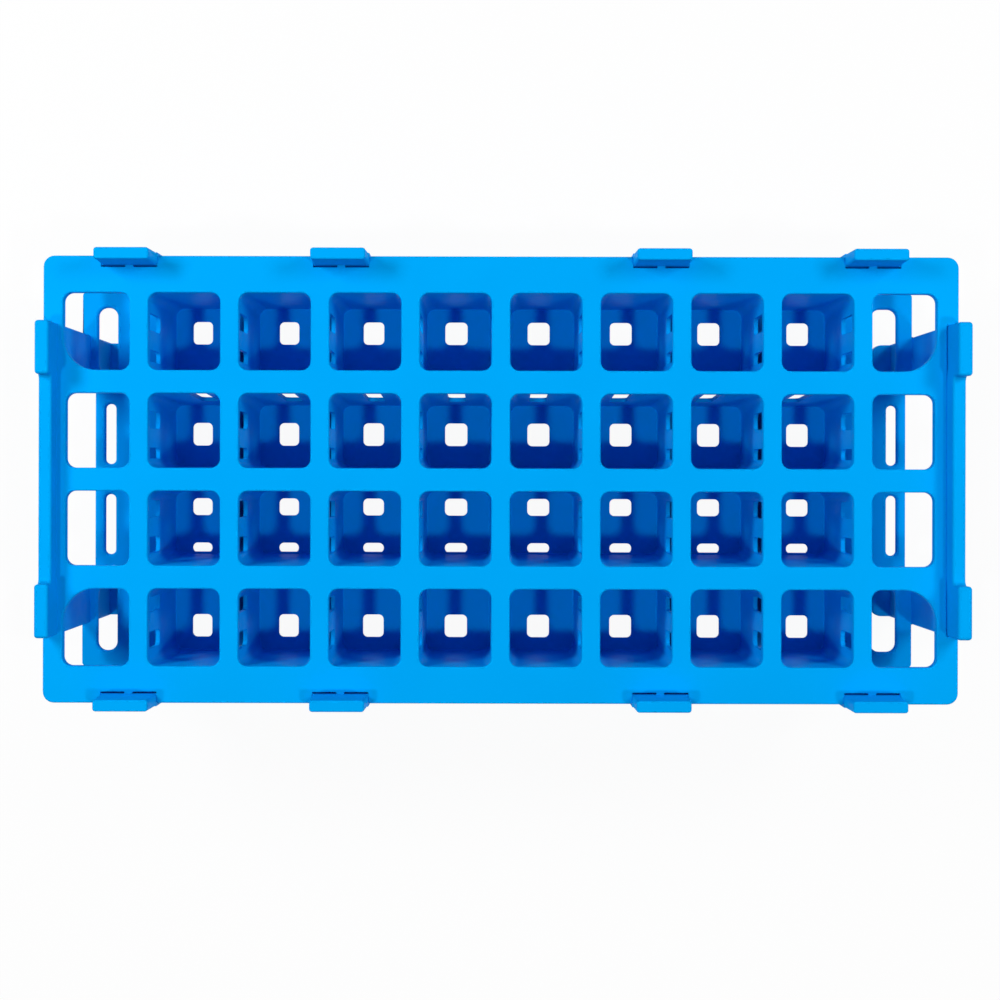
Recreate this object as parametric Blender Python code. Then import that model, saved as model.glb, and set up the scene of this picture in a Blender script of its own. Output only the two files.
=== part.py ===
import math

import bmesh
import bpy

# Sizes are in metres. X runs along the rack, Y across it, Z up from the table.
CLEARANCE = 0.0003

# Tube places: closed columns in the middle, one open column at each end
COLUMNS = 8
COLUMN_PITCH = 0.0262
HOLE_LENGTH = 0.0208
END_HOLE_LENGTH = 0.0192
INNER_HOLE_WIDTH = 0.0216
OUTER_HOLE_WIDTH = 0.0224
ROW_BAR = 0.0067
HOLE_CORNER = 0.0027
END_HOLE_SWEEP = 0.0095

# Top plate
PLATE_TOP = 0.0650
PLATE_DEPTH = 0.0050
PLATE_CORNER = 0.0032
PLATE_SIDE_MARGIN = 0.01065
PLATE_END_RIM = 0.0013
NIB_WIDTH = 0.0023
SLIT = 0.0006

# Rows of cells that hang under the plate
CELL_DEPTH = 0.0370
CELL_WALL = 0.0012
CELL_FLOOR = 0.0016
ROW_WEB = 0.0015
WEB_END_LIP = 0.0036
CELL_DRAFT = 0.0004
OUTER_ROW_DRAFT = 0.0006
INNER_ROW_DRAFT = 0.0017
DRAIN = 0.0072
DRAIN_CORNER = 0.0015
OUTER_DRAIN_SHIFT = 0.0030
SPLIT_DRAIN_WIDTH = 0.0053
SPLIT_DRAIN_EDGE = 0.0026
EDGE_DRAIN_WIDTH = 0.0031
CROSS_NOTCH_WIDTH = 0.0048
CROSS_NOTCH_SPACING = 0.0109
CROSS_NOTCH_DEPTH = 0.0082
LONG_NOTCH_WIDTH = 0.0052
LONG_NOTCH_DEPTH = 0.0147
RAIL_LENGTH_PAST_POST = 0.0060

# Open shelves under the two end columns
SHELF_CORNER = 0.0060
SHELF_PAST_FRAME = 0.0021
SHELF_RECESS = 0.0014
SLOT_CHAMFER = 0.0010
OUTER_SLOT_WIDTH = 0.0069
OUTER_SLOT_SWEEP = 0.0050
INNER_SLOT_WIDTH = 0.0032
INNER_SLOT_LENGTH = 0.0188
SLOT_CORNER = 0.0015
SLOT_RIM = 0.0023

# End frames
FRAME_THICKNESS = 0.0038
LEG_INSIDE = 0.0298
LEG_WIDTH = 0.0153
LUG_HEIGHT = 0.0100
GRIP_ABOVE_PLATE = 0.0054
GRIP_HEIGHT = 0.0154
GRIP_CORNER = 0.0060
LUG_FILLET = 0.0015
LUG_CORNER = 0.0010
FOOT_REACH = 0.0060
FOOT_THICKNESS = 0.0030

# Side posts
POST_WIDTH = 0.0163
POST_THICKNESS = 0.0037
POST_INSET = 0.0027
INNER_POST_X = 0.0463
OUTER_POST_SHIFT = 0.0028
LUG_SIDE_DRAFT = 0.00035
LUG_FACE_DRAFT = 0.0004
RIB_THICKNESS = 0.0020
RIB_DEPTH = 0.0032

# Tongues of the rows and shelves that sit in pockets of the posts and the legs
TONGUE_WIDTH = 0.0080
TONGUE_REACH = 0.0012

# Facets of one quarter turn, and of the round foot of a notch
FINE_STEPS = 5
ROUND_STEPS = 3
CELL_STEPS = 2
DRAIN_STEPS = 1
NOTCH_STEPS = 3

# Heights that follow from the driving sizes
PLATE_UNDERSIDE = PLATE_TOP - PLATE_DEPTH
WEB_TOP = PLATE_UNDERSIDE - CLEARANCE
WEB_UNDERSIDE = WEB_TOP - ROW_WEB
FLOOR_TOP = PLATE_TOP - CELL_DEPTH
FLOOR_UNDERSIDE = FLOOR_TOP - CELL_FLOOR
LUG_TOP = PLATE_TOP + LUG_HEIGHT
GRIP_TOP = PLATE_TOP + GRIP_ABOVE_PLATE
GRIP_UNDERSIDE = GRIP_TOP - GRIP_HEIGHT

# Lengths along the rack, measured from its middle
COLUMN_BAR = COLUMN_PITCH - HOLE_LENGTH
LAST_CELL_EDGE = (COLUMNS * COLUMN_PITCH - COLUMN_BAR) / 2
END_HOLE_START = LAST_CELL_EDGE + COLUMN_BAR
END_HOLE_END = END_HOLE_START + END_HOLE_LENGTH
PLATE_NOTCH_X = END_HOLE_END + PLATE_END_RIM
FRAME_INSIDE = PLATE_NOTCH_X + CLEARANCE
FRAME_OUTSIDE = FRAME_INSIDE + FRAME_THICKNESS
PLATE_HALF_LENGTH = FRAME_OUTSIDE + CLEARANCE
OUTER_POST_X = END_HOLE_START - COLUMN_BAR / 2 + OUTER_POST_SHIFT
POST_PLACES = (-OUTER_POST_X, -INNER_POST_X, INNER_POST_X, OUTER_POST_X)

# Widths across the rack, measured from its middle
INNER_ROW = (ROW_BAR / 2, ROW_BAR / 2 + INNER_HOLE_WIDTH)
OUTER_ROW = (INNER_ROW[1] + ROW_BAR, INNER_ROW[1] + ROW_BAR + OUTER_HOLE_WIDTH)
ROW_SPLIT = INNER_ROW[1] + ROW_BAR / 2
PLATE_HALF_WIDTH = OUTER_ROW[1] + PLATE_SIDE_MARGIN
POST_INSIDE = PLATE_HALF_WIDTH - POST_INSET
WEB_HALF_WIDTH = POST_INSIDE - CLEARANCE
SHELF_HALF_WIDTH = POST_INSIDE - RIB_DEPTH - CLEARANCE
LEG_OUTSIDE = LEG_INSIDE + LEG_WIDTH

BLUE = (0.002, 0.330, 0.900, 1.0)
ROUGHNESS = 0.42


def arc(centre, radius, start, end, steps):
    points = []
    for i in range(steps + 1):
        angle = math.radians(start + (end - start) * i / steps)
        points.append((centre[0] + radius * math.cos(angle), centre[1] + radius * math.sin(angle)))
    return points


def rounded_box(x0, x1, y0, y1, radii, steps):
    # radii belong to the corners (x1, y1), (x0, y1), (x0, y0) and (x1, y0)
    corners = (
        (x1, y1, -1, -1, 0),
        (x0, y1, 1, -1, 90),
        (x0, y0, 1, 1, 180),
        (x1, y0, -1, 1, 270),
    )
    outline = []
    for (x, y, inward_x, inward_y, start), radius in zip(corners, radii):
        centre = (x + inward_x * radius, y + inward_y * radius)
        outline += arc(centre, radius, start, start + 90, steps)
    return outline


def mirrored(outline):
    # the same outline on the other side of X = 0, still counterclockwise
    return [(-x, y) for x, y in reversed(outline)]


def place(axis, u, v, w):
    # an outline (u, v) square to an axis, at w along it
    return {"X": (w, u, v), "Y": (v, w, u), "Z": (u, v, w)}[axis]


def add_loft(bm, axis, rings):
    # rings hold (level, outline) from low to high, with counterclockwise outlines
    loops = []
    for level, outline in rings:
        loops.append([bm.verts.new(place(axis, u, v, level)) for u, v in outline])
    bm.faces.new(list(reversed(loops[0])))
    bm.faces.new(loops[-1])
    for lower, upper in zip(loops, loops[1:]):
        for i in range(len(lower)):
            j = (i + 1) % len(lower)
            bm.faces.new((lower[i], lower[j], upper[j], upper[i]))


def add_prism(bm, axis, outline, low, high):
    add_loft(bm, axis, [(low, outline), (high, outline)])


def make_object(name, bm):
    mesh = bpy.data.meshes.new(name)
    bm.normal_update()
    bm.to_mesh(mesh)
    bm.free()
    made = bpy.data.objects.new(name, mesh)
    bpy.context.scene.collection.objects.link(made)
    return made


def make_piece(name, bm, rack):
    piece = make_object(name, bm)
    plastic = bpy.data.materials.new(f"{name}_polypropylene")
    plastic.use_nodes = True
    shader = plastic.node_tree.nodes["Principled BSDF"]
    shader.inputs["Base Color"].default_value = BLUE
    shader.inputs["Roughness"].default_value = ROUGHNESS
    shader.inputs["Metallic"].default_value = 0.0
    piece.data.materials.append(plastic)
    piece.parent = rack
    return piece


def make_tool(name, bm):
    tool = make_object(name, bm)
    tool.hide_render = True
    tool.display_type = "WIRE"
    return tool


def combine(piece, tool, operation):
    step = piece.modifiers.new(tool.name, "BOOLEAN")
    step.operation = operation
    step.solver = "EXACT"
    step.object = tool


# Rows run from the rear, +Y, to the front, -Y
def row_span(row):
    low, high = OUTER_ROW if row in (0, 3) else INNER_ROW
    return (low, high) if row < 2 else (-high, -low)


def column_centre(column):
    return (column - (COLUMNS - 1) / 2) * COLUMN_PITCH


def hole_outline(column, row):
    x = column_centre(column)
    y0, y1 = row_span(row)
    radii = [HOLE_CORNER] * 4
    return rounded_box(x - HOLE_LENGTH / 2, x + HOLE_LENGTH / 2, y0, y1, radii, ROUND_STEPS)


def end_hole_outline(row):
    # the outer rows sweep round to the legs of the end frame
    y0, y1 = row_span(row)
    radii = [HOLE_CORNER] * 4
    if row == 0:
        radii[3] = END_HOLE_SWEEP
    if row == 3:
        radii[0] = END_HOLE_SWEEP
    return rounded_box(END_HOLE_START, END_HOLE_END, y0, y1, radii, ROUND_STEPS)


def cell_outline(column, row, z, grow):
    # draft is counted from the top of the web down to the cell floor
    fall = (WEB_TOP - z) / (WEB_TOP - FLOOR_TOP)
    x = column_centre(column)
    half = HOLE_LENGTH / 2 - CELL_DRAFT * fall + grow
    y0, y1 = row_span(row)
    outward = OUTER_ROW_DRAFT if row in (0, 3) else INNER_ROW_DRAFT
    low, high = (CELL_DRAFT, outward) if row < 2 else (outward, CELL_DRAFT)
    radii = [HOLE_CORNER + grow] * 4
    return rounded_box(
        x - half, x + half, y0 + low * fall - grow, y1 - high * fall + grow, radii, CELL_STEPS
    )


def u_outline(centre, width, depth):
    # a U open at the top, as (across, up), a little above the web
    half = width / 2
    bottom = WEB_TOP - depth
    round_part = arc((centre, bottom + half), half, 180, 360, NOTCH_STEPS)
    over = WEB_TOP + ROW_WEB
    return [(centre - half, over)] + round_part + [(centre + half, over)]


def build_top_plate(rack):
    bm = bmesh.new()
    outline = rounded_box(
        -PLATE_HALF_LENGTH, PLATE_HALF_LENGTH, -PLATE_HALF_WIDTH, PLATE_HALF_WIDTH,
        [PLATE_CORNER] * 4, FINE_STEPS,
    )
    add_prism(bm, "Z", outline, PLATE_UNDERSIDE, PLATE_TOP)
    plate = make_piece("top_plate", bm, rack)

    low = PLATE_UNDERSIDE - PLATE_DEPTH
    high = PLATE_TOP + PLATE_DEPTH
    holes = bmesh.new()
    for row in range(4):
        for column in range(COLUMNS):
            add_prism(holes, "Z", hole_outline(column, row), low, high)
        end_hole = end_hole_outline(row)
        add_prism(holes, "Z", end_hole, low, high)
        add_prism(holes, "Z", mirrored(end_hole), low, high)
    combine(plate, make_tool("plate_holes", holes), "DIFFERENCE")

    notches = bmesh.new()
    past_edge = PLATE_HALF_WIDTH + PLATE_DEPTH
    for x in POST_PLACES:
        half = POST_WIDTH / 2 + CLEARANCE
        slit = POST_INSIDE - SLIT
        nib = POST_INSIDE - CLEARANCE
        rear = [
            (x - half, past_edge), (x - half, slit),
            (x - NIB_WIDTH / 2, slit), (x - NIB_WIDTH / 2, nib),
            (x + NIB_WIDTH / 2, nib), (x + NIB_WIDTH / 2, slit),
            (x + half, slit), (x + half, past_edge),
        ]
        add_prism(notches, "Z", rear, low, high)
        add_prism(notches, "Z", [(u, -v) for u, v in reversed(rear)], low, high)
    past_end = PLATE_HALF_LENGTH + PLATE_DEPTH
    half = LEG_OUTSIDE + CLEARANCE
    frame_notch = [
        (PLATE_NOTCH_X, -half), (past_end, -half), (past_end, half), (PLATE_NOTCH_X, half)
    ]
    add_prism(notches, "Z", frame_notch, low, high)
    add_prism(notches, "Z", mirrored(frame_notch), low, high)
    combine(plate, make_tool("plate_notches", notches), "DIFFERENCE")


def web_outline(row):
    # an outer row has a rail along its side, with a tongue at each post
    web_end = LAST_CELL_EDGE + WEB_END_LIP
    half_gap = CLEARANCE / 2
    if row in (1, 2):
        outline = [
            (-web_end, half_gap), (web_end, half_gap),
            (web_end, ROW_SPLIT - half_gap), (-web_end, ROW_SPLIT - half_gap),
        ]
    else:
        rail_end = OUTER_POST_X + RAIL_LENGTH_PAST_POST
        rail_inside = OUTER_ROW[1] + CELL_WALL
        tongue_end = POST_INSIDE + TONGUE_REACH
        outline = [
            (-web_end, ROW_SPLIT + half_gap), (web_end, ROW_SPLIT + half_gap),
            (web_end, rail_inside), (rail_end, rail_inside), (rail_end, WEB_HALF_WIDTH),
        ]
        for x in reversed(POST_PLACES):
            outline.append((x + TONGUE_WIDTH / 2, WEB_HALF_WIDTH))
            outline.append((x + TONGUE_WIDTH / 2, tongue_end))
            outline.append((x - TONGUE_WIDTH / 2, tongue_end))
            outline.append((x - TONGUE_WIDTH / 2, WEB_HALF_WIDTH))
        outline += [(-rail_end, WEB_HALF_WIDTH), (-rail_end, rail_inside), (-web_end, rail_inside)]
    return outline if row < 2 else [(-x, -y) for x, y in outline]


def shelf_outline():
    # the right shelf, from the last cells to the legs, recessed between them
    start = LAST_CELL_EDGE - CELL_DRAFT + CELL_WALL + CLEARANCE
    corner = FRAME_INSIDE + SHELF_PAST_FRAME
    at_leg = FRAME_INSIDE - CLEARANCE
    recess = at_leg - SHELF_RECESS
    past_leg = LEG_OUTSIDE + CLEARANCE
    tongue = LEG_INSIDE + LEG_WIDTH / 2
    tongue_end = FRAME_INSIDE + TONGUE_REACH
    rim = arc(
        (corner - SHELF_CORNER, SHELF_HALF_WIDTH - SHELF_CORNER), SHELF_CORNER, 0, 90, FINE_STEPS
    )
    upper = [
        (recess, LEG_INSIDE), (at_leg, LEG_INSIDE),
        (at_leg, tongue - TONGUE_WIDTH / 2), (tongue_end, tongue - TONGUE_WIDTH / 2),
        (tongue_end, tongue + TONGUE_WIDTH / 2), (at_leg, tongue + TONGUE_WIDTH / 2),
        (at_leg, past_leg), (corner, past_leg),
    ]
    upper += rim + [(start, SHELF_HALF_WIDTH)]
    return [(x, -y) for x, y in reversed(upper)] + upper


def slot_outline(row, grow):
    # drain slots of the right shelf, wider in the outer rows
    y0, y1 = row_span(row)
    outer_end = END_HOLE_END - PLATE_END_RIM
    if row in (0, 3):
        inset = (y1 - y0 - INNER_SLOT_LENGTH) / 2
        sweep = min(OUTER_SLOT_SWEEP, OUTER_SLOT_WIDTH - SLOT_CORNER - CLEARANCE)
        radii = [SLOT_CORNER + grow] * 4
        radii[3 if row == 0 else 0] = sweep + grow
        low, high = (0, inset) if row == 0 else (inset, 0)
        return rounded_box(
            outer_end - OUTER_SLOT_WIDTH - grow, outer_end + grow,
            y0 + low - grow, y1 - high + grow, radii, ROUND_STEPS,
        )
    inset = (y1 - y0 - INNER_SLOT_LENGTH) / 2
    outer_end -= SLOT_RIM
    return rounded_box(
        outer_end - INNER_SLOT_WIDTH - grow, outer_end + grow,
        y0 + inset - grow, y1 - inset + grow, [SLOT_CORNER + grow] * 4, ROUND_STEPS,
    )


def drain_spans(row):
    # one square drain in a cell, or in the third row a split pair
    y0, y1 = row_span(row)
    middle = (y0 + y1) / 2
    if row == 2:
        split_end = y1 - SPLIT_DRAIN_EDGE
        foot = y0 + INNER_ROW_DRAFT
        return [(split_end - SPLIT_DRAIN_WIDTH, split_end), (foot, foot + EDGE_DRAIN_WIDTH)]
    shift = {0: OUTER_DRAIN_SHIFT, 1: 0, 3: -OUTER_DRAIN_SHIFT}[row]
    return [(middle + shift - DRAIN / 2, middle + shift + DRAIN / 2)]


def build_cell_row(rack, row):
    name = f"cell_row_{row + 1}"
    bm = bmesh.new()
    add_prism(bm, "Z", web_outline(row), WEB_UNDERSIDE, WEB_TOP)
    strip = make_piece(name, bm, rack)

    shells = bmesh.new()
    pockets = bmesh.new()
    inside_web = WEB_TOP - ROW_WEB / 2
    over = WEB_TOP + ROW_WEB
    for column in range(COLUMNS):
        shell = []
        for z in (FLOOR_UNDERSIDE, inside_web):
            shell.append((z, cell_outline(column, row, z, CELL_WALL)))
        add_loft(shells, "Z", shell)
        pocket = [(z, cell_outline(column, row, z, 0)) for z in (FLOOR_TOP, over)]
        add_loft(pockets, "Z", pocket)
    combine(strip, make_tool(f"{name}_shells", shells), "UNION")
    combine(strip, make_tool(f"{name}_pockets", pockets), "DIFFERENCE")

    drains = bmesh.new()
    below = FLOOR_UNDERSIDE - CELL_FLOOR
    above = FLOOR_TOP + CELL_FLOOR
    for y0, y1 in drain_spans(row):
        radii = [min(DRAIN_CORNER, (y1 - y0) / 2 - CLEARANCE)] * 4
        for column in range(COLUMNS):
            x = column_centre(column)
            outline = rounded_box(x - DRAIN / 2, x + DRAIN / 2, y0, y1, radii, DRAIN_STEPS)
            add_prism(drains, "Z", outline, below, above)
    combine(strip, make_tool(f"{name}_drains", drains), "DIFFERENCE")

    # U-shaped notches through the walls between neighbouring cells
    notches = bmesh.new()
    reach = COLUMN_BAR / 2 + CELL_DRAFT + CELL_WALL
    middle = sum(row_span(row)) / 2
    for wall in range(COLUMNS + 1):
        x = column_centre(wall) - COLUMN_PITCH / 2
        for side in (-1, 1):
            y = middle + side * CROSS_NOTCH_SPACING / 2
            outline = u_outline(y, CROSS_NOTCH_WIDTH, CROSS_NOTCH_DEPTH)
            add_prism(notches, "X", outline, x - reach, x + reach)
    reach = ROW_BAR / 2 + INNER_ROW_DRAFT + CELL_WALL
    for y in (ROW_SPLIT, 0, -ROW_SPLIT)[max(row - 1, 0):row + 1]:
        for column in range(COLUMNS):
            outline = u_outline(column_centre(column), LONG_NOTCH_WIDTH, LONG_NOTCH_DEPTH)
            turned = [(z, x) for x, z in reversed(outline)]
            add_prism(notches, "Y", turned, y - reach, y + reach)
    combine(strip, make_tool(f"{name}_notches", notches), "DIFFERENCE")


def build_end_shelf(rack, name, side):
    # modelled on the right, and turned half round the middle of the rack for the left
    bm = bmesh.new()
    add_prism(bm, "Z", shelf_outline(), FLOOR_UNDERSIDE, FLOOR_TOP)
    shelf = make_piece(name, bm, rack)

    slots = bmesh.new()
    below = FLOOR_UNDERSIDE - CELL_FLOOR
    above = FLOOR_TOP + CELL_FLOOR
    chamfer_foot = FLOOR_TOP - SLOT_CHAMFER
    for row in range(4):
        rings = []
        for z, grow in ((below, 0), (chamfer_foot, 0), (above, above - chamfer_foot)):
            rings.append((z, slot_outline(row, grow)))
        add_loft(slots, "Z", rings)
    tool = make_tool(f"{name}_slots", slots)
    combine(shelf, tool, "DIFFERENCE")
    for made in (shelf, tool):
        made.rotation_euler[2] = 0.0 if side > 0 else math.pi


def frame_outline():
    # one half of the arch as (across, up), from the foot round to the middle of the grip
    outside = arc(
        (LEG_OUTSIDE - LUG_CORNER, LUG_TOP - LUG_CORNER), LUG_CORNER, 0, 90, CELL_STEPS
    )
    lug_inside = arc(
        (LEG_INSIDE + LUG_CORNER, LUG_TOP - LUG_CORNER), LUG_CORNER, 90, 180, CELL_STEPS
    )
    fillet = arc(
        (LEG_INSIDE - LUG_FILLET, GRIP_TOP + LUG_FILLET), LUG_FILLET, 0, -90, ROUND_STEPS
    )
    grip = arc(
        (LEG_INSIDE - GRIP_CORNER, GRIP_UNDERSIDE - GRIP_CORNER), GRIP_CORNER, 90, 0, FINE_STEPS
    )
    top = [(LEG_OUTSIDE, 0)] + outside + lug_inside + fillet
    inside = grip + [(LEG_INSIDE, 0)]
    left_top = [(-y, z) for y, z in reversed(top)]
    left_inside = [(-y, z) for y, z in reversed(inside)]
    return top + left_top + left_inside + inside


def build_end_frame(rack, name, side):
    # modelled on the right, and turned half round the middle of the rack for the left
    bm = bmesh.new()
    add_prism(bm, "X", frame_outline(), FRAME_INSIDE, FRAME_OUTSIDE)
    frame = make_piece(name, bm, rack)

    feet = bmesh.new()
    pockets = bmesh.new()
    for leg in (-1, 1):
        middle = leg * (LEG_INSIDE + LEG_WIDTH / 2)
        foot = rounded_box(
            FRAME_INSIDE - FOOT_REACH, FRAME_INSIDE + FRAME_THICKNESS / 2,
            middle - LEG_WIDTH / 2 + CLEARANCE, middle + LEG_WIDTH / 2 - CLEARANCE,
            (LUG_CORNER, FOOT_REACH / 2, FOOT_REACH / 2, LUG_CORNER), ROUND_STEPS,
        )
        add_prism(feet, "Z", foot, 0, FOOT_THICKNESS)
        half = TONGUE_WIDTH / 2 + CLEARANCE
        pocket = [
            (FRAME_INSIDE - TONGUE_REACH, middle - half),
            (FRAME_INSIDE + TONGUE_REACH + CLEARANCE, middle - half),
            (FRAME_INSIDE + TONGUE_REACH + CLEARANCE, middle + half),
            (FRAME_INSIDE - TONGUE_REACH, middle + half),
        ]
        add_prism(pockets, "Z", pocket, FLOOR_UNDERSIDE - CLEARANCE, FLOOR_TOP + CLEARANCE)
    feet_tool = make_tool(f"{name}_feet", feet)
    pocket_tool = make_tool(f"{name}_pockets", pockets)
    combine(frame, feet_tool, "UNION")
    combine(frame, pocket_tool, "DIFFERENCE")
    for made in (frame, feet_tool, pocket_tool):
        made.rotation_euler[2] = 0.0 if side > 0 else math.pi


def build_side_post(rack, name, x, side):
    # modelled at the rear in its own place, and turned half round for the front
    half = POST_WIDTH / 2
    bm = bmesh.new()
    outside = POST_INSIDE + POST_THICKNESS
    leg = [(-half, POST_INSIDE), (half, POST_INSIDE), (half, outside), (-half, outside)]
    top = half - LUG_SIDE_DRAFT
    face = POST_INSIDE + LUG_FACE_DRAFT
    lug = [(-top, face), (top, face), (top, outside), (-top, outside)]
    add_loft(bm, "Z", [(0, leg), (PLATE_TOP, leg), (LUG_TOP, lug)])
    post = make_piece(name, bm, rack)

    # a foot, and a rib that carries the rail of the outer row
    feet = bmesh.new()
    seat = POST_INSIDE + POST_THICKNESS / 2
    foot = rounded_box(
        -half + CLEARANCE, half - CLEARANCE, POST_INSIDE - FOOT_REACH, seat,
        (LUG_CORNER, LUG_CORNER, FOOT_REACH / 2, FOOT_REACH / 2), ROUND_STEPS,
    )
    rib_face = POST_INSIDE - RIB_DEPTH
    rib = [
        (-RIB_THICKNESS / 2, rib_face), (RIB_THICKNESS / 2, rib_face),
        (RIB_THICKNESS / 2, seat), (-RIB_THICKNESS / 2, seat),
    ]
    add_prism(feet, "Z", foot, 0, FOOT_THICKNESS)
    foot_tool = make_tool(f"{name}_foot", feet)
    ribs = bmesh.new()
    add_prism(ribs, "Z", rib, FOOT_THICKNESS / 2, WEB_UNDERSIDE - CLEARANCE)
    rib_tool = make_tool(f"{name}_rib", ribs)

    pockets = bmesh.new()
    reach = TONGUE_WIDTH / 2 + CLEARANCE
    end = POST_INSIDE + TONGUE_REACH + CLEARANCE
    pocket = [
        (-reach, POST_INSIDE - TONGUE_REACH), (reach, POST_INSIDE - TONGUE_REACH),
        (reach, end), (-reach, end),
    ]
    add_prism(pockets, "Z", pocket, WEB_UNDERSIDE - CLEARANCE, WEB_TOP + CLEARANCE)
    pocket_tool = make_tool(f"{name}_pocket", pockets)

    combine(post, foot_tool, "UNION")
    combine(post, rib_tool, "UNION")
    combine(post, pocket_tool, "DIFFERENCE")
    for made in (post, foot_tool, rib_tool, pocket_tool):
        made.location[0] = x
        made.rotation_euler[2] = 0.0 if side > 0 else math.pi


def build_rack():
    for old in list(bpy.data.objects):
        bpy.data.objects.remove(old, do_unlink=True)
    rack = bpy.data.objects.new("tube_rack", None)
    bpy.context.scene.collection.objects.link(rack)
    build_top_plate(rack)
    for row in range(4):
        build_cell_row(rack, row)
    build_end_shelf(rack, "end_shelf_left", -1)
    build_end_shelf(rack, "end_shelf_right", 1)
    build_end_frame(rack, "end_frame_left", -1)
    build_end_frame(rack, "end_frame_right", 1)
    for number, x in enumerate(POST_PLACES, start=1):
        build_side_post(rack, f"side_post_rear_{number}", x, 1)
        build_side_post(rack, f"side_post_front_{number}", x, -1)


build_rack()
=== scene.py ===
import math

import bpy
import numpy as np
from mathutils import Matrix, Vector
from mathutils.geometry import tessellate_polygon


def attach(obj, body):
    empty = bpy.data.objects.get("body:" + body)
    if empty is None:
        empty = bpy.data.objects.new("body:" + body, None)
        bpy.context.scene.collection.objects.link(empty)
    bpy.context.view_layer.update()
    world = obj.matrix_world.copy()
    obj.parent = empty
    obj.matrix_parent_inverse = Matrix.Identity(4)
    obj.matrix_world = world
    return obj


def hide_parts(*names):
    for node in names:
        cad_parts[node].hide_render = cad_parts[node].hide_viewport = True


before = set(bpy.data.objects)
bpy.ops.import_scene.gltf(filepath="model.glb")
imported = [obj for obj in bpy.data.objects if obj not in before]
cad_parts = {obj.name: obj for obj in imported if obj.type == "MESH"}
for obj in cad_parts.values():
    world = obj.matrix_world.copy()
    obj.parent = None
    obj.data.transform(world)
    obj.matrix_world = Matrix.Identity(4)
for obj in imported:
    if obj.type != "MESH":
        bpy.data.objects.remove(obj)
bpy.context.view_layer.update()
print("frame loaded with", len(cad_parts), "nodes")

# Where the tube places lie, in metres: the holes, and the two levels that the mouldings share
tubeGrid = {
    "rows": 4,
    "columns": 8,
    "pitch": 0.0262,
    "length": 0.0208,
    "endStart": 0.1075,
    "endStop": 0.1267,
    "endInset": {"left": (0.0, 0.0008), "right": (0.0005, 0.0012)},
    "inner": (0.00335, 0.02495),
    "outer": (0.03165, 0.05405),
    "corner": 0.0027,
    "sweep": 0.0095,
    "sweepSteps": 10,
    "split": 0.0283,
    "webTop": 0.0622,
    "floorTop": 0.0280,
}
outerRows = (0, 3)
postX = np.array([-0.1076, -0.0463, 0.0463, 0.1076])

# How finely rounds are cut, the smallest triangle that is kept and where shading breaks
meshing = {
    "cornerSteps": 6,
    "edgeSteps": 4,
    "leastArea": 1e-14,
    "sharpAngle": math.radians(32),
}


def columnX(column):
    return (column - (tubeGrid["columns"] - 1) / 2) * tubeGrid["pitch"]


def rowSpan(row):
    # rows are counted from the rear
    low, high = tubeGrid["outer" if row in outerRows else "inner"]
    return (low, high) if row < 2 else (-high, -low)


# Surfaces worked out as arrays

def roundLoop(corners, radii, steps=meshing["cornerSteps"]):
    # every corner c of a counterclockwise outline turns into an arc: c - s r m + s r n(t),
    # where n swings from one edge's normal to the next, m is their mitre and s the side it turns to
    c = np.asarray(corners, float)
    r = np.broadcast_to(np.asarray(radii, float), len(c))
    a = c - np.roll(c, 1, axis=0)
    b = np.roll(a, -1, axis=0)
    a = a / np.linalg.norm(a, axis=1, keepdims=True)
    b = b / np.linalg.norm(b, axis=1, keepdims=True)
    turn = np.arctan2(a[:, 0] * b[:, 1] - a[:, 1] * b[:, 0], (a * b).sum(axis=1))
    first = np.stack([a[:, 1], -a[:, 0]], axis=1)
    second = np.stack([b[:, 1], -b[:, 0]], axis=1)
    mitre = (first + second) / (1 + (first * second).sum(axis=1, keepdims=True))
    begin = np.arctan2(first[:, 1], first[:, 0])
    swing = begin[:, None] + turn[:, None] * np.linspace(0, 1, steps + 1)
    normal = np.stack([np.cos(swing), np.sin(swing)], axis=-1)
    pull = (np.sign(turn) * r)[:, None]
    points = (c - pull * mitre)[:, None] + pull[:, :, None] * normal
    return points.reshape(-1, 2), normal.reshape(-1, 2)


def boxLoop(x0, x1, y0, y1, radii, steps=meshing["cornerSteps"]):
    return roundLoop([(x1, y1), (x0, y1), (x0, y0), (x1, y0)], radii, steps)


def gridQuads(rows, columns, start=0, closeRows=False):
    # quads of a grid whose columns run round a closed loop
    v = np.arange(rows if closeRows else rows - 1)[:, None]
    u = np.arange(columns)[None, :]
    over, on = (v + 1) % rows, (u + 1) % columns
    quads = [v * columns + u, v * columns + on, over * columns + on, over * columns + u]
    return start + np.stack(quads, axis=-1).reshape(-1, 4)


def edgeProfile(low, high, foot, head):
    # a wall from low to high with a quarter round at either end:
    # at the foot, inset f (1 - sin t) and height low + f (1 - cos t),
    # at the head, inset h (1 - cos t) and height high - h (1 - sin t)
    count = meshing["edgeSteps"] + 1
    t = np.linspace(0, math.pi / 2, count)
    inset = np.concatenate([foot * (1 - np.sin(t)), head * (1 - np.cos(t))])
    height = np.concatenate([low + foot * (1 - np.cos(t)), high - head * (1 - np.sin(t))])
    slope = np.concatenate([t - math.pi / 2, t])
    base = np.concatenate([np.full(count, low), np.full(count, high)])
    return inset, height, slope, base


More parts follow.
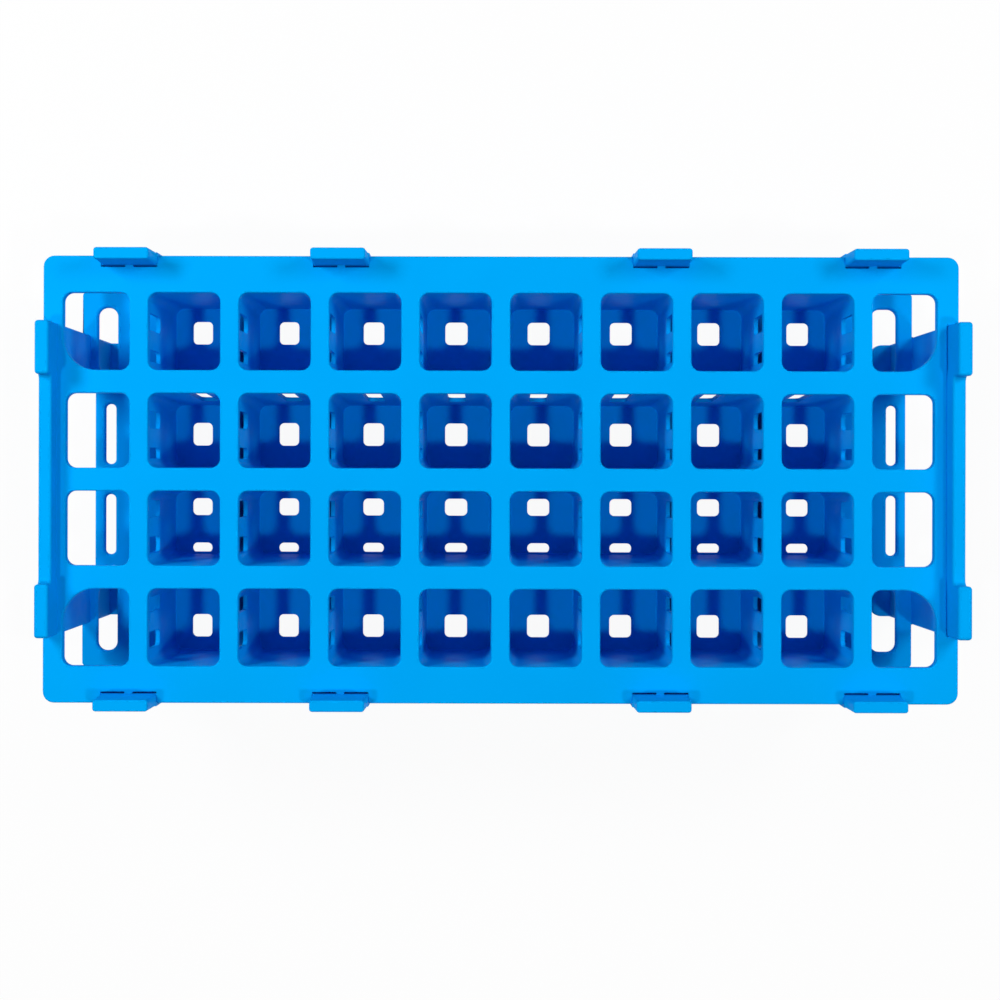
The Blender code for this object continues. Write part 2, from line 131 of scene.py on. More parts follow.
def slab(outer, holes, low, high, foot, head, axis="Z", softness=None, holeHead=None):
    # outline carried from low to high along an axis: P(u, v) = p(u) - inset(v) n(u),
    # with both ends filled flat
    # softness scales the edge rounding of the outer outline from point to point
    points, normals, faces, ends, start = [], [], [], [], 0
    for number, (p, n) in enumerate([outer] + list(holes)):
        side = 1 if number == 0 else -1
        if side < 0:
            p, n = p[::-1], n[::-1]
        edge = head if side > 0 or holeHead is None else holeHead
        inset, height, slope, base = edgeProfile(low, high, foot, edge)
        scale = softness if number == 0 and softness is not None else np.ones(len(p))
        shift = inset[:, None] * scale
        ring = p[None] - side * shift[:, :, None] * n[None]
        z = base[:, None] + (height - base)[:, None] * scale
        points.append(np.dstack([ring, z]).reshape(-1, 3))
        flat = side * np.cos(slope)[:, None, None] * n[None]
        up = np.broadcast_to(np.sin(slope)[:, None], flat.shape[:2])
        normals.append(np.dstack([flat, up]).reshape(-1, 3))
        faces += gridQuads(len(inset), len(p), start).tolist()
        ends.append((start, start + (len(inset) - 1) * len(p), len(p)))
        start += len(inset) * len(p)
    points, normals = np.concatenate(points), np.concatenate(normals)
    for top in (False, True):
        index = np.concatenate([np.arange(end[top], end[top] + end[2]) for end in ends])
        loops = np.split(points[index], np.cumsum([end[2] for end in ends])[:-1])
        flatLoops = [[Vector((x, y, 0)) for x, y, z in loop] for loop in loops]
        fill = np.array(tessellate_polygon(flatLoops))
        corner = points[index[fill]]
        one, two = corner[:, 1] - corner[:, 0], corner[:, 2] - corner[:, 0]
        area = one[:, 0] * two[:, 1] - one[:, 1] * two[:, 0]
        wrong = area < 0 if top else area > 0
        fill[wrong] = fill[wrong][:, ::-1]
        faces += index[fill[np.abs(area) > meshing["leastArea"]]].tolist()
    order = {"X": [2, 0, 1], "Z": [0, 1, 2]}[axis]
    return points[:, order], faces, normals[:, order]


def turned(surface):
    # half a turn round the middle of the rack
    points, faces, normals = surface
    spin = np.array([-1.0, -1.0, 1.0])
    return points * spin, faces, normals * spin


def makePiece(name, surfaces, material, nodes, exactNormals=True):
    # exact normals come with the surfaces, otherwise Blender weighs them by the faces' areas
    points = np.concatenate([s[0] for s in surfaces])
    starts = np.cumsum([0] + [len(s[0]) for s in surfaces])
    faces = [[i + int(start) for i in face] for s, start in zip(surfaces, starts) for face in s[1]]
    mesh = bpy.data.meshes.new(name)
    mesh.from_pydata(points.tolist(), [], faces)
    mesh.polygons.foreach_set("use_smooth", np.ones(len(mesh.polygons), bool))
    if exactNormals:
        normals = np.concatenate([s[2] for s in surfaces])
        mesh.normals_split_custom_set_from_vertices(normals.tolist())
    else:
        mesh.set_sharp_from_angle(angle=meshing["sharpAngle"])
    mesh.materials.append(material)
    piece = bpy.data.objects.new(name, mesh)
    bpy.context.scene.collection.objects.link(piece)
    if not exactNormals:
        even = piece.modifiers.new("evenFaces", "WEIGHTED_NORMAL")
        even.keep_sharp = True
    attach(piece, "root")
    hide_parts(*nodes)
    return piece


# Satin blue polypropylene, a little different from one moulding to the next

plasticLook = {
    "blue": (0.0, 0.392, 0.945, 1.0),
    "deep": (0.0, 0.376, 0.915, 1.0),
    "cloud": {"scale": 38.0, "detail": 3.0, "range": (0.35, 0.75)},
    "rub": {"scale": 260.0, "detail": 4.0, "range": (0.3, 0.7)},
    "gloss": (0.44, 0.54),
    "sheen": 0.02,
    "sheenTint": (0.02, 0.45, 1.0, 1.0),
    "grain": {"scale": 2400.0, "detail": 2.0, "height": 0.000012},
    "flow": {"scale": 24.0, "detail": 1.0, "height": 0.00003},
    "refraction": 1.49,
}


def addNoise(nodes, links, vector, look):
    noise = nodes.new("ShaderNodeTexNoise")
    noise.inputs["Scale"].default_value = look["scale"]
    noise.inputs["Detail"].default_value = look["detail"]
    links.new(vector, noise.inputs["Vector"])
    return noise.outputs["Fac"]


def addRange(nodes, links, value, source, target):
    spread = nodes.new("ShaderNodeMapRange")
    spread.inputs["From Min"].default_value = source[0]
    spread.inputs["From Max"].default_value = source[1]
    spread.inputs["To Min"].default_value = target[0]
    spread.inputs["To Max"].default_value = target[1]
    links.new(value, spread.inputs["Value"])
    return spread.outputs["Result"]


def addBump(nodes, links, height, distance):
    bump = nodes.new("ShaderNodeBump")
    bump.inputs["Strength"].default_value = 1.0
    bump.inputs["Distance"].default_value = distance
    links.new(height, bump.inputs["Height"])
    return bump


def satinPlastic(name, shift):
    # shift moves the noise, so that no two mouldings have the same clouds
    look = plasticLook
    material = bpy.data.materials.new(name)
    material.use_nodes = True
    nodes, links = material.node_tree.nodes, material.node_tree.links
    shader = nodes["Principled BSDF"]
    shader.inputs["IOR"].default_value = look["refraction"]
    shader.inputs["Specular IOR Level"].default_value = look["sheen"]
    shader.inputs["Specular Tint"].default_value = look["sheenTint"]
    shader.inputs["Metallic"].default_value = 0.0

    place = nodes.new("ShaderNodeTexCoord")
    moved = nodes.new("ShaderNodeMapping")
    moved.inputs["Location"].default_value = shift
    links.new(place.outputs["Object"], moved.inputs["Vector"])
    vector = moved.outputs["Vector"]

    # faint clouds where the colour is mixed unevenly
    cloud = addNoise(nodes, links, vector, look["cloud"])
    tint = nodes.new("ShaderNodeMix")
    tint.data_type = "RGBA"
    tint.inputs["A"].default_value = look["blue"]
    tint.inputs["B"].default_value = look["deep"]
    share = addRange(nodes, links, cloud, look["cloud"]["range"], (0.0, 1.0))
    links.new(share, tint.inputs["Factor"])
    links.new(tint.outputs["Result"], shader.inputs["Base Color"])

    # handling leaves the gloss uneven
    rub = addNoise(nodes, links, vector, look["rub"])
    gloss = addRange(nodes, links, rub, look["rub"]["range"], look["gloss"])
    links.new(gloss, shader.inputs["Roughness"])

    # the grain of a spark-eroded mould lies on slow waves where the melt flowed and shrank
    grain = addNoise(nodes, links, vector, look["grain"])
    flow = addNoise(nodes, links, vector, look["flow"])
    waves = addBump(nodes, links, flow, look["flow"]["height"])
    face = addBump(nodes, links, grain, look["grain"]["height"])
    links.new(waves.outputs["Normal"], face.inputs["Normal"])
    links.new(face.outputs["Normal"], shader.inputs["Normal"])
    return material


# Top plate: rounded square holes, notches for the posts and end frames, all edges eased

topPlate = {
    "top": 0.0650,
    "underside": 0.0622,
    "halfLength": 0.1324,
    "halfWidth": 0.0647,
    "corner": 0.0032,
    "notchX": 0.1291,
    "notchHalf": 0.0450,
    "notchRound": (0.0004, 0.0006),
    "postNotchHalf": 0.0081,
    "postNotchRound": (0.0002, 0.0005),
    "slitY": 0.0614,
    "nibY": 0.0622,
    "nibHalf": 0.00115,
    "nibRound": 0.00008,
    "edge": 0.00045,
    "footEdge": 0.00025,
    "slitSoftness": 0.15,
    "noiseShift": (0.0, 0.0, 0.0),
}


def plateOutline():
    # the rear side from right to left, then turned half round for the front side
    # the edges inside the post notches are rounded less than the others
    d = topPlate
    innerRound, outerRound = d["notchRound"]
    slitRound, mouthRound = d["postNotchRound"]
    side = [(d["notchX"], d["notchHalf"], innerRound),
            (d["halfLength"], d["notchHalf"], outerRound),
            (d["halfLength"], d["halfWidth"], d["corner"])]
    for x in postX[::-1]:
        h, k, nibRound = d["postNotchHalf"], d["nibHalf"], d["nibRound"]
        side += [(x + h, d["halfWidth"], mouthRound), (x + h, d["slitY"], slitRound),
                 (x + k, d["slitY"], nibRound), (x + k, d["nibY"], nibRound),
                 (x - k, d["nibY"], nibRound), (x - k, d["slitY"], nibRound),
                 (x - h, d["slitY"], slitRound), (x - h, d["halfWidth"], mouthRound)]
    side += [(-d["halfLength"], d["halfWidth"], d["corner"]),
             (-d["halfLength"], d["notchHalf"], outerRound),
             (-d["notchX"], d["notchHalf"], innerRound)]
    side = np.array(side)
    loop = np.concatenate([side, side * (-1, -1, 1)])
    softness = np.where(loop[:, 2] <= slitRound, d["slitSoftness"], 1.0)
    return roundLoop(loop[:, :2], loop[:, 2]), np.repeat(softness, meshing["cornerSteps"] + 1)


def plateHoles():
    # each outer end hole has one corner, counted as boxLoop does, with a wide sweep
    g, holes = tubeGrid, []
    swept = {(0, "right"): 3, (3, "right"): 0, (0, "left"): 2, (3, "left"): 1}
    for row in range(g["rows"]):
        y0, y1 = rowSpan(row)
        for column in range(g["columns"]):
            x, half = columnX(column), g["length"] / 2
            holes.append(boxLoop(x - half, x + half, y0, y1, g["corner"]))
        for end, side in (("right", 1), ("left", -1)):
            radii = np.full(4, g["corner"])
            if (row, end) in swept:
                radii[swept[row, end]] = g["sweep"]
            outerInset, innerInset = g["endInset"][end]
            inset = outerInset if row in outerRows else innerInset
            x0, x1 = sorted((side * g["endStart"], side * (g["endStop"] - inset)))
            holes.append(boxLoop(x0, x1, y0, y1, radii, g["sweepSteps"]))
    return holes


outline, softness = plateOutline()
plateSkin = slab(outline, plateHoles(), topPlate["underside"], topPlate["top"],
                 topPlate["footEdge"], topPlate["edge"], softness=softness)
plateBlue = satinPlastic("plateBlue", topPlate["noiseShift"])
makePiece("top_plate_moulding", [plateSkin], plateBlue, ["top_plate"])
print("top plate:", len(plateSkin[1]), "faces")


# Rows of cells: drafted cups with U-notched walls, drained floors and the web that joins them

cellRow = {
    "wall": 0.0012,
    "floor": 0.0016,
    "web": 0.0015,
    "draft": 0.0004,
    "outwardDraft": {"outer": 0.0006, "inner": 0.0017},
    "floorRound": 0.0005,
    "floorEdge": (0.0003, 0.00025),
    "overlap": 0.0001,
    "crossNotch": (0.0050, 0.0127),
    "crossSpacing": 0.0106,
    "crossShift": (-0.0022, -0.0020, 0.0002, 0.0012),
    "rearNotchRow": 1,
    "rearNotch": (0.0053, 0.0214),
    "rearFollow": 0.946,
    "notchCorner": 0.0016,
    "notchSteps": 4,
    "drainLength": (0.0062, 0.0062, 0.0065, 0.0070, 0.0069, 0.0069, 0.0070, 0.0069),
    "drainWidth": 0.0071,
    "drainCorner": 0.0015,
    "drainX": (-0.0017, -0.0008, -0.0005, -0.0008, -0.0012, -0.0016, -0.0003, 0.0014),
    "drainY": (0.0030, 0.0, None, -0.0030),
    "splitDrainRow": 2,
    "splitDrain": (0.0053, 0.0026),
    "edgeDrain": (0.0031, 0.0003),
    "rowGap": 0.00015,
    "webEnd": 0.1057,
    "railEnd": 0.1168,
    "railStart": 0.05525,
    "railStop": 0.0622,
    "barCorner": 0.0002,
    "barEdge": (0.0002, 0.0001),
    "barDrop": 0.0002,
    "noiseShift": (0.31, 0.2, 0.1),
}


def footDraft(row):
    # how far the front and the rear wall have come in at the floor
    d = cellRow
    outward = d["outwardDraft"]["outer" if row in outerRows else "inner"]
    return (d["draft"], outward) if row < 2 else (outward, d["draft"])


def crossMiddle(row):
    return sum(rowSpan(row)) / 2 + cellRow["crossShift"][row]


def rearNotchX(column):
    # each follows its drain, a little nearer the middle
    return cellRow["rearFollow"] * (columnX(column) + cellRow["drainX"][column])


def notchColumns(centre, size):
    # places along a wall and how far its top drops there:
    # two quarter rounds join the sides to a flat foot
    (width, depth), r = size, cellRow["notchCorner"]
    a = np.linspace(math.pi, 1.5 * math.pi, cellRow["notchSteps"] + 1)
    left = centre - width / 2 + r + r * np.cos(a)
    fall = depth - r - r * np.sin(a)
    s = np.concatenate([[centre - width / 2], left, 2 * centre - left[::-1], [centre + width / 2]])
    return s, np.concatenate([[0], fall, fall[::-1], [0]])


def cupColumns(column, row):
    # columns of the wall, counterclockwise from +X: each side's notches, then the corner after it
    # every column has its direction, the signs of its corner, its place along a flat side,
    # the drop of its top, and 1 on a flat side or 0 on a corner
    d, bendCount = cellRow, meshing["cornerSteps"] + 1
    cross = [notchColumns(crossMiddle(row) + side * d["crossSpacing"] / 2, d["crossNotch"])
             for side in (-1, 1)]
    crossS, crossDrop = np.concatenate(cross, axis=1)
    rearS = rearDrop = plain = np.zeros(0)
    if row == d["rearNotchRow"]:
        rearS, rearDrop = notchColumns(rearNotchX(column), d["rearNotch"])
    sides = [(0, 1, 1, crossS, crossDrop), (90, -1, 1, rearS[::-1], rearDrop[::-1]),
             (180, -1, -1, crossS[::-1], crossDrop[::-1]), (270, 1, -1, plain, plain)]
    parts = []
    for start, east, north, s, drop in sides:
        bend = np.linspace(start, start + 90, bendCount)
        angle = np.radians(np.concatenate([np.full(len(s), float(start)), bend]))
        count, none = len(angle), np.zeros(bendCount)
        parts.append(np.stack([np.cos(angle), np.sin(angle), np.full(count, east),
                               np.full(count, north), np.concatenate([s, none]),
                               np.concatenate([drop, none]), np.arange(count) < len(s)]))
    return np.concatenate(parts, axis=1)


def cupPoint(column, row, columns, z, grow):
    # rounded square that narrows with depth: corner centre (z) + (radius + grow) * direction
    # a notch that would reach past its flat side ends where the corner starts
    d, g = cellRow, tubeGrid
    nx, ny, east, north, along, _, flat = columns
    fall = (g["webTop"] - z) / (g["webTop"] - g["floorTop"])
    reach = g["length"] / 2 - d["draft"] * fall - g["corner"]
    y0, y1 = rowSpan(row)
    low, high = footDraft(row)
    rear, front = y1 - high * fall - g["corner"], y0 + low * fall + g["corner"]
    x = columnX(column) + reach * east + (g["corner"] + grow) * nx
    y = np.where(north > 0, rear, front) + (g["corner"] + grow) * ny
    facesX = np.abs(nx) > np.abs(ny)
    x = np.where((flat > 0) & ~facesX, along, x)
    y = np.where((flat > 0) & facesX, np.clip(along, front, rear), y)
    return np.stack([x, y, np.broadcast_to(z, x.shape)], axis=-1)


def cupSurface(column, row):
    # a closed section carried round the cup: up the outside, over the notched top,
    # down the inside, round the foot on a quarter circle and back through the floor
    d, g = cellRow, tubeGrid
    columns = cupColumns(column, row)
    drop = columns[5]
    top = g["webTop"] - drop
    foot = g["floorTop"] - d["floor"] + d["overlap"]
    section = [(np.full_like(top, foot), d["wall"]), (top, d["wall"]), (top, 0.0)]
    for a in np.linspace(0, math.pi / 2, meshing["edgeSteps"] + 1):
        level = g["floorTop"] + d["floorRound"] * (1 - math.sin(a))
        section.append((np.full_like(top, level), -d["floorRound"] * (1 - math.cos(a))))
    section.append((np.full_like(top, foot), -d["floorRound"]))
    points = np.concatenate([cupPoint(column, row, columns, z, grow) for z, grow in section])
    return points, gridQuads(len(section), len(top), closeRows=True).tolist(), None


def cupFloor(column, row):
    # the rim ends inside the wall, and the row with two drains has one at the rear and one in front
    d, g = cellRow, tubeGrid
    y0, y1 = rowSpan(row)
    low, high = footDraft(row)
    x, sink = columnX(column), d["wall"] - d["overlap"]
    half = g["length"] / 2 - d["draft"] + sink
    rim = boxLoop(x - half, x + half, y0 + low - sink, y1 - high + sink, g["corner"] + d["wall"])
    if row == d["splitDrainRow"]:
        rearWidth, rearInset = d["splitDrain"]
        frontWidth, frontInset = d["edgeDrain"]
        stop, start = y1 - rearInset, y0 + low + frontInset
        spans = [(stop - rearWidth, stop), (start, start + frontWidth)]
    else:
        centre = (y0 + y1) / 2 + d["drainY"][row]
        spans = [(centre - d["drainWidth"] / 2, centre + d["drainWidth"] / 2)]
    x, half = x + d["drainX"][column], d["drainLength"][column] / 2
    drains = [boxLoop(x - half, x + half, a, b, d["drainCorner"]) for a, b in spans]
    return slab(rim, drains, g["floorTop"] - d["floor"], g["floorTop"], *d["floorEdge"])


def floorBars(row):
    # the floors of neighbouring cups are joined, so the gaps between their walls end in plastic
    d, g = cellRow, tubeGrid
    y0, y1 = rowSpan(row)
    half = (g["pitch"] - g["length"]) / 2 + d["draft"] - d["wall"] / 2
    walls = [columnX(wall) - g["pitch"] / 2 for wall in range(1, g["columns"])]
    inset = d["outwardDraft"]["inner"]
    return [(x - half, x + half, y0 + inset, y1 - inset) for x in walls]


def topBars(row):
    # flat bars between the cups, left open where the notches pass under the plate
    d, g = cellRow, tubeGrid
    y0, y1 = rowSpan(row)
    gap, end = d["rowGap"], d["webEnd"]
    near, far = (g["split"] + gap, d["railStart"]) if row in outerRows else (gap, g["split"] - gap)
    front, rear = (near, far) if row < 2 else (-far, -near)
    width, spacing = d["crossNotch"][0], d["crossSpacing"]
    cuts = np.array([-spacing - width, -spacing + width, spacing - width, spacing + width])
    cuts = crossMiddle(row) + cuts / 2
    half = (g["pitch"] - g["length"]) / 2 - d["wall"] / 2
    bars = []
    for wall in range(g["columns"] + 1):
        x = columnX(wall) - g["pitch"] / 2
        x0, x1 = max(x - half, -end), min(x + half, end)
        bars += [(x0, x1, front, cuts[0]), (x0, x1, cuts[1], cuts[2]), (x0, x1, cuts[3], rear)]
    stops = [-end]
    if row == d["rearNotchRow"]:
        for column in range(g["columns"]):
            middle, reach = rearNotchX(column), d["rearNotch"][0] / 2
            stops += [middle - reach, middle + reach]
    stops.append(end)
    bars.append((-end, end, front, y0 - d["wall"] / 2))
    bars += [(x0, x1, y1 + d["wall"] / 2, rear) for x0, x1 in zip(stops[::2], stops[1::2])]
    if row in outerRows:
        side = 1 if row == 0 else -1
        rail = sorted((side * d["railStart"], side * d["railStop"]))
        bars.append((-d["railEnd"], d["railEnd"], *rail))
    return bars


def webSurfaces(row):
    d, g = cellRow, tubeGrid
    levels = [(topBars(row), g["webTop"] - d["web"], g["webTop"]),
              (floorBars(row), g["floorTop"] - d["floor"], g["floorTop"] - d["barDrop"])]
    return [slab(boxLoop(*bar, d["barCorner"], steps=2), [], low, high, *d["barEdge"])
            for bars, low, high in levels for bar in bars]


for row in range(tubeGrid["rows"]):
    surfaces = webSurfaces(row)
    for column in range(tubeGrid["columns"]):
        surfaces += [cupSurface(column, row), cupFloor(column, row)]
    name = f"cell_row_{row + 1}"
    across, along, up = cellRow["noiseShift"]
    rowBlue = satinPlastic(f"rowBlue{row + 1}", (across * row, along, up))
    makePiece(f"{name}_moulding", surfaces, rowBlue, [name], exactNormals=False)
print("cell rows:", tubeGrid["rows"], "strips of", tubeGrid["columns"], "cups")


# End shelves: thin floors under the open end places, with eased drain slots

endShelf = {
    "start": 0.1032,
    "startRound": 0.0005,
    "recess": 0.1270,
    "recessRound": 0.0004,
    "atLeg": 0.1293,
    "legRound": 0.0003,
    "legInside": 0.0298,
    "pastLeg": 0.0451,
    "stop": {"left": 0.1311, "right": 0.1290},
    "halfWidth": 0.0585,
    "corner": 0.0010,
    "edge": (0.0002, 0.0003),
    "outerSlot": {"left": (0.1202, 0.1262), "right": (0.1162, 0.1241)},
    "outerSlotRound": (0.0028, 0.0050),
    "innerSlot": {"left": (0.1207, 0.1239), "right": (0.1211, 0.1242)},
    "slotInset": {"outer": 0.0003, "inner": 0.0014},
    "slotCorner": 0.0015,
    "slotEase": 0.0010,
    "noiseShift": {"left": (0.2, 0.6, 0.3), "right": (0.7, 0.1, 0.4)},
}


def shelfSurface(end):
    # the right shelf, to be turned round for the left one
    d, g = endShelf, tubeGrid
    stop = d["stop"][end]
    upper = np.array([(d["recess"], d["legInside"], d["recessRound"]),
                      (d["atLeg"], d["legInside"], d["legRound"]),
                      (d["atLeg"], d["pastLeg"], 0.0), (stop, d["pastLeg"], 0.0),
                      (stop, d["halfWidth"], d["corner"]),
                      (d["start"], d["halfWidth"], d["startRound"])])
    loop = np.concatenate([upper[::-1] * (1, -1, 1), upper])
    slots = []
    for row in range(g["rows"]):
        y0, y1 = rowSpan(row)
        if row in outerRows:
            x0, x1 = d["outerSlot"][end]
            tip, sweep = d["outerSlotRound"]
            radii, inset = (tip, tip, d["slotCorner"], sweep), d["slotInset"]["outer"]
            y0, y1 = (y0, y1 - inset) if row == 0 else (y0 + inset, y1)
            radii = radii if row == 0 else radii[::-1]
        else:
            x0, x1 = d["innerSlot"][end]
            radii, inset = d["slotCorner"], d["slotInset"]["inner"]
            y0, y1 = y0 + inset, y1 - inset
        slots.append(boxLoop(x0, x1, y0, y1, radii))
    low = g["floorTop"] - cellRow["floor"]
    return slab(roundLoop(loop[:, :2], loop[:, 2]), slots, low, g["floorTop"], *d["edge"],
                holeHead=d["slotEase"])


shelves = {"right": shelfSurface("right"), "left": turned(shelfSurface("left"))}
for end, surface in shelves.items():
    shelfBlue = satinPlastic(f"shelfBlue{end.title()}", endShelf["noiseShift"][end])
    makePiece(f"end_shelf_{end}_moulding", [surface], shelfBlue, [f"end_shelf_{end}"])
print("end shelves:", len(shelves))


# End frames: an arch with two legs, a grip across and a lug over each leg

endFrame = {
    "inside": 0.1288,
    "outside": 0.1324,
    "plateTop": 0.0650,
    "lean": {"left": (-0.0009, -0.0004), "right": (0.0006, 0.0011)},
    "legInside": 0.0298,
    "legOutside": 0.0451,
    "legFoot": 0.0003,
    "lugTop": 0.0750,
    "gripTop": 0.0704,
    "gripUnderside": 0.0550,
    "gripCorner": 0.0060,
    "lugFillet": 0.0015,
    "lugCorner": 0.0010,
    "edge": 0.0008,
    "toeReach": 0.0060,
    "toeSink": 0.0019,
    "toeInset": 0.0003,
    "toeThickness": 0.0030,
    "toeCorner": (0.001, 0.003, 0.003, 0.001),
    "toeEdge": (0.0003, 0.0006),
    "noiseShift": {"left": (0.4, 0.9, 0.6), "right": (0.9, 0.5, 0.2)},
}


def frameSurfaces(end):
    # the right frame, to be turned round for the left one
    # above the plate the lugs and the grip lean by x += lean(t) k: k runs from 0 at the plate
    # to 1 at the top, and t from 0 at the inner face to 1 at the outer face
    d = endFrame
    half = np.array([(d["legOutside"], 0.0, d["legFoot"]),
                     (d["legOutside"], d["lugTop"], d["lugCorner"]),
                     (d["legInside"], d["lugTop"], d["lugCorner"]),
                     (d["legInside"], d["gripTop"], d["lugFillet"])])
    inside = np.array([(d["legInside"], d["gripUnderside"], d["gripCorner"]),
                       (d["legInside"], 0.0, d["legFoot"])])
    mirror = (-1, 1, 1)
    loop = np.concatenate([half, half[::-1] * mirror, inside[::-1] * mirror, inside])
    arch = slab(roundLoop(loop[:, :2], loop[:, 2]), [], d["inside"], d["outside"],
                d["edge"], d["edge"], axis="X")
    k = np.clip((arch[0][:, 2] - d["plateTop"]) / (d["lugTop"] - d["plateTop"]), 0, 1)
    t = (arch[0][:, 0] - d["inside"]) / (d["outside"] - d["inside"])
    inner, outer = d["lean"][end]
    arch[0][:, 0] += (inner + (outer - inner) * t) * k
    surfaces = [arch]
    for side in (-1, 1):
        y0, y1 = sorted((side * (d["legInside"] + d["toeInset"]),
                         side * (d["legOutside"] - d["toeInset"])))
        toe = boxLoop(d["inside"] - d["toeReach"], d["inside"] + d["toeSink"], y0, y1,
                      d["toeCorner"])
        surfaces.append(slab(toe, [], 0.0, d["toeThickness"], *d["toeEdge"]))
    return surfaces


frames = {"right": frameSurfaces("right"), "left": [turned(s) for s in frameSurfaces("left")]}
for end, surfaces in frames.items():
    frameBlue = satinPlastic(f"frameBlue{end.title()}", endFrame["noiseShift"][end])
    makePiece(f"end_frame_{end}_moulding", surfaces, frameBlue, [f"end_frame_{end}"])
print("end frames:", len(frames))


# Side posts: flat legs that rise past the plate as drafted lugs, each with a toe and a rib

sidePost = {
    "halfWidth": 0.00815,
    "inside": 0.0620,
    "outside": 0.0657,
    "join": 0.0646,
    "plateTop": 0.0650,
    "lugTop": 0.0750,
    "sideDraft": 0.00035,
    "faceDraft": 0.0004,
    "corner": (0.0002, 0.0009),
    "legFoot": 0.0003,
    "edge": 0.0005,
    "rib": {"half": 0.0010, "face": 0.0588, "sink": 0.001, "low": 0.0015, "high": 0.0602},
    "ribRound": 0.0003,
    "toeReach": 0.0060,
    "toeSink": 0.0018,
    "toeInset": 0.0003,
    "toeThickness": 0.0030,
    "toeCorner": (0.001, 0.001, 0.003, 0.003),
    "toeEdge": (0.0003, 0.0006),
    "noiseShift": {"rear": (0.13, 0.7, 0.0), "front": (0.17, 0.3, 0.5)},
}


def postSurfaces(x):
    # a rear post, to be turned round for a front one
    # the lug leans in as it rises past the plate: k runs from 0 at the plate to 1 at its top
    d, r = sidePost, sidePost["rib"]
    shaft, lug = [boxLoop(-d["halfWidth"], d["halfWidth"], d["inside"], d["outside"], corner, steps=4)
                  for corner in d["corner"]]
    shaft = slab(shaft, [], 0.0, d["join"], d["legFoot"], 0.0)
    points, faces, normals = slab(lug, [], d["join"], d["lugTop"], 0.0, d["edge"])
    k = np.clip((points[:, 2] - d["plateTop"]) / (d["lugTop"] - d["plateTop"]), 0, 1)
    depth = d["outside"] - d["inside"]
    points[:, 0] *= 1 - d["sideDraft"] / d["halfWidth"] * k
    points[:, 1] = d["outside"] - (d["outside"] - points[:, 1]) * (1 - d["faceDraft"] / depth * k)
    rib = boxLoop(-r["half"], r["half"], r["face"], d["inside"] + r["sink"], d["ribRound"], steps=3)
    rib = slab(rib, [], r["low"], r["high"], 0.0, d["ribRound"])
    toeHalf = d["halfWidth"] - d["toeInset"]
    toe = boxLoop(-toeHalf, toeHalf, d["inside"] - d["toeReach"], d["inside"] + d["toeSink"],
                  d["toeCorner"])
    toe = slab(toe, [], 0.0, d["toeThickness"], *d["toeEdge"])
    surfaces = [shaft, (points, faces, normals), rib, toe]
    return [(p + (x, 0, 0), f, n) for p, f, n in surfaces]


for number, x in enumerate(postX, start=1):
    posts = {"rear": postSurfaces(x), "front": [turned(s) for s in postSurfaces(-x)]}
    for side, surfaces in posts.items():
        name = f"side_post_{side}_{number}"
        across, along, up = sidePost["noiseShift"][side]
        postBlue = satinPlastic(f"postBlue{side.title()}{number}", (number * across, along, up))
        makePiece(f"{name}_moulding", surfaces, postBlue, [name])
print("side posts:", 2 * len(postX))


# Floor, light and camera

studio = {
    "floorHalf": 3.0,
    "floorLevel": -0.0004,
    "floorWhite": (0.92, 0.92, 0.92, 1.0),
    "floorGlow": 0.94,
    "skyWhite": (1.0, 1.0, 1.0, 1.0),
    "ambient": 0.09,
    "lamps": {
        "keyLeft": {"place": (-0.38, 0.18, 0.42), "size": (0.20, 0.12), "power": 1.42},
        "keyRight": {"place": (0.38, 0.18, 0.42), "size": (0.20, 0.12), "power": 1.10},
        "overLeft": {"place": (-0.40, -0.28, 1.26), "size": (0.08, 0.08), "power": 3.4},
        "overRight": {"place": (0.44, -0.28, 1.26), "size": (0.08, 0.08), "power": 3.4},
    },
    "aim": (0.0, 0.0, 0.05),
}


def seenDirectly(nodes, links):
    # 1 for what the camera, a reflection or a clear body sees, 0 for light that falls on the rack
    path = nodes.new("ShaderNodeLightPath")
    first = nodes.new("ShaderNodeMath")
    first.operation = "MAXIMUM"
    links.new(path.outputs["Is Camera Ray"], first.inputs[0])
    links.new(path.outputs["Is Glossy Ray"], first.inputs[1])
    second = nodes.new("ShaderNodeMath")
    second.operation = "MAXIMUM"
    links.new(first.outputs[0], second.inputs[0])
    links.new(path.outputs["Is Transmission Ray"], second.inputs[1])
    return second.outputs[0]


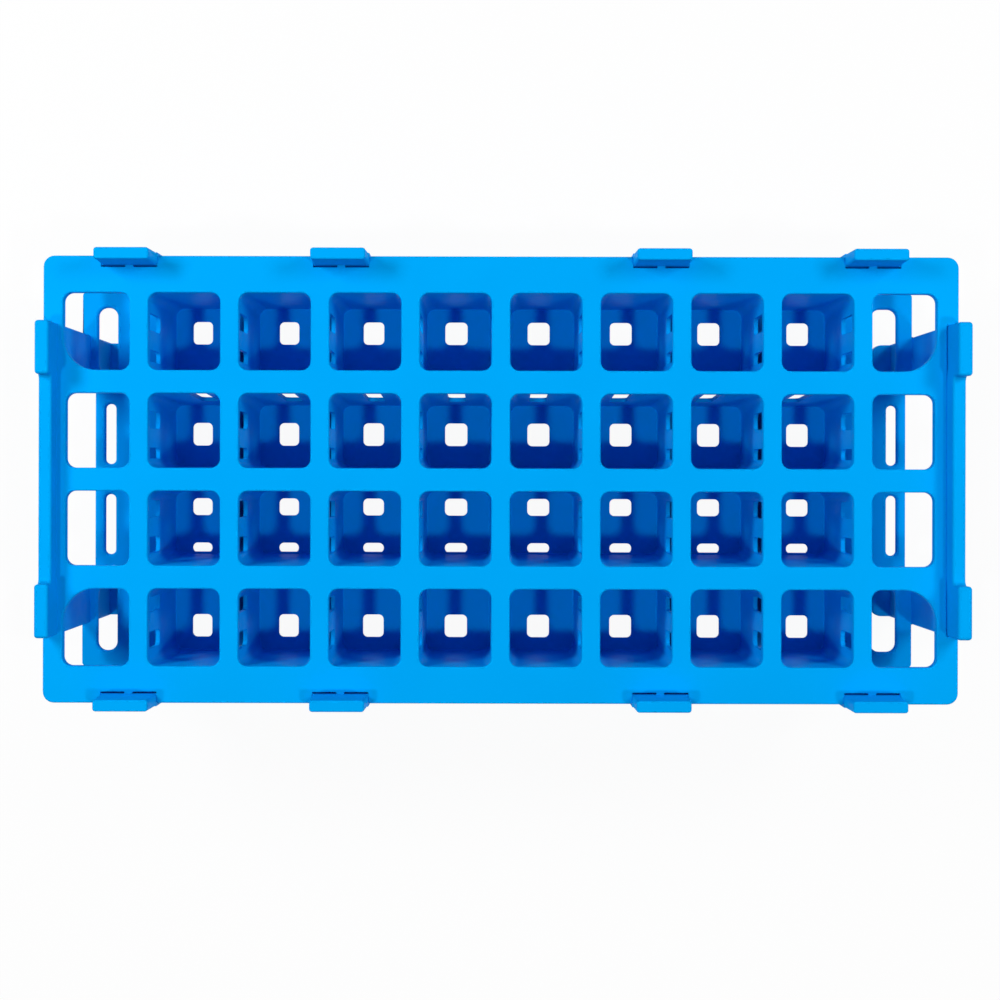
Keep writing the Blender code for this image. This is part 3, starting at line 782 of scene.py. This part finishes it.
def makeFloor():
    h, z = studio["floorHalf"], studio["floorLevel"]
    mesh = bpy.data.meshes.new("floor")
    mesh.from_pydata([(-h, -h, z), (h, -h, z), (h, h, z), (-h, h, z)], [], [(0, 1, 2, 3)])
    floor = bpy.data.objects.new("floor", mesh)
    bpy.context.scene.collection.objects.link(floor)
    material = bpy.data.materials.new("floorWhite")
    material.use_nodes = True
    nodes, links = material.node_tree.nodes, material.node_tree.links
    nodes.clear()
    out = nodes.new("ShaderNodeOutputMaterial")
    matte = nodes.new("ShaderNodeBsdfDiffuse")
    matte.inputs["Color"].default_value = studio["floorWhite"]
    glow = nodes.new("ShaderNodeEmission")
    glow.inputs["Strength"].default_value = 1.0
    share = nodes.new("ShaderNodeMath")
    share.operation = "MULTIPLY"
    share.inputs[1].default_value = studio["floorGlow"]
    links.new(seenDirectly(nodes, links), share.inputs[0])
    mix = nodes.new("ShaderNodeMixShader")
    links.new(share.outputs[0], mix.inputs["Fac"])
    links.new(matte.outputs[0], mix.inputs[1])
    links.new(glow.outputs[0], mix.inputs[2])
    links.new(mix.outputs[0], out.inputs["Surface"])
    mesh.materials.append(material)


def makeSky():
    # white to look at, but only a faint light on the rack
    world = bpy.data.worlds.new("studioSky")
    bpy.context.scene.world = world
    world.use_nodes = True
    nodes, links = world.node_tree.nodes, world.node_tree.links
    nodes.clear()
    out = nodes.new("ShaderNodeOutputWorld")
    soft = nodes.new("ShaderNodeBackground")
    soft.inputs["Color"].default_value = studio["skyWhite"]
    level = nodes.new("ShaderNodeMapRange")
    level.inputs["To Min"].default_value = studio["ambient"]
    level.inputs["To Max"].default_value = 1.0
    links.new(seenDirectly(nodes, links), level.inputs["Value"])
    links.new(level.outputs["Result"], soft.inputs["Strength"])
    links.new(soft.outputs[0], out.inputs["Surface"])


def makeLamps():
    for name, d in studio["lamps"].items():
        light = bpy.data.lights.new(name, "AREA")
        light.shape = "RECTANGLE"
        light.size, light.size_y = d["size"]
        light.energy = d["power"]
        lamp = bpy.data.objects.new(name, light)
        lamp.location = d["place"]
        aim = Vector(studio["aim"]) - Vector(d["place"])
        lamp.rotation_euler = aim.to_track_quat("-Z", "Y").to_euler()
        bpy.context.scene.collection.objects.link(lamp)


makeFloor()
makeSky()
makeLamps()
print("studio: floor, sky and", len(studio["lamps"]), "lamps")

# Straight down, with the plate's middle a little above the middle of the frame
viewer = {
    "place": (-0.0012, 0.0006, 0.5020),
    "lens": 54.41,
    "sensor": 36.0,
    "roll": 0.0023,
    "shift": (0.0034, -0.022),
    "nearest": 0.01,
}
eye = bpy.data.cameras.new("viewer")
eye.lens = viewer["lens"]
eye.sensor_width = viewer["sensor"]
eye.shift_x, eye.shift_y = viewer["shift"]
eye.clip_start = viewer["nearest"]
camera = bpy.data.objects.new("viewer", eye)
camera.location = viewer["place"]
camera.rotation_euler = (0.0, 0.0, viewer["roll"])
bpy.context.scene.collection.objects.link(camera)
bpy.context.scene.camera = camera
bpy.context.scene.view_settings.view_transform = "Standard"
print("camera set")
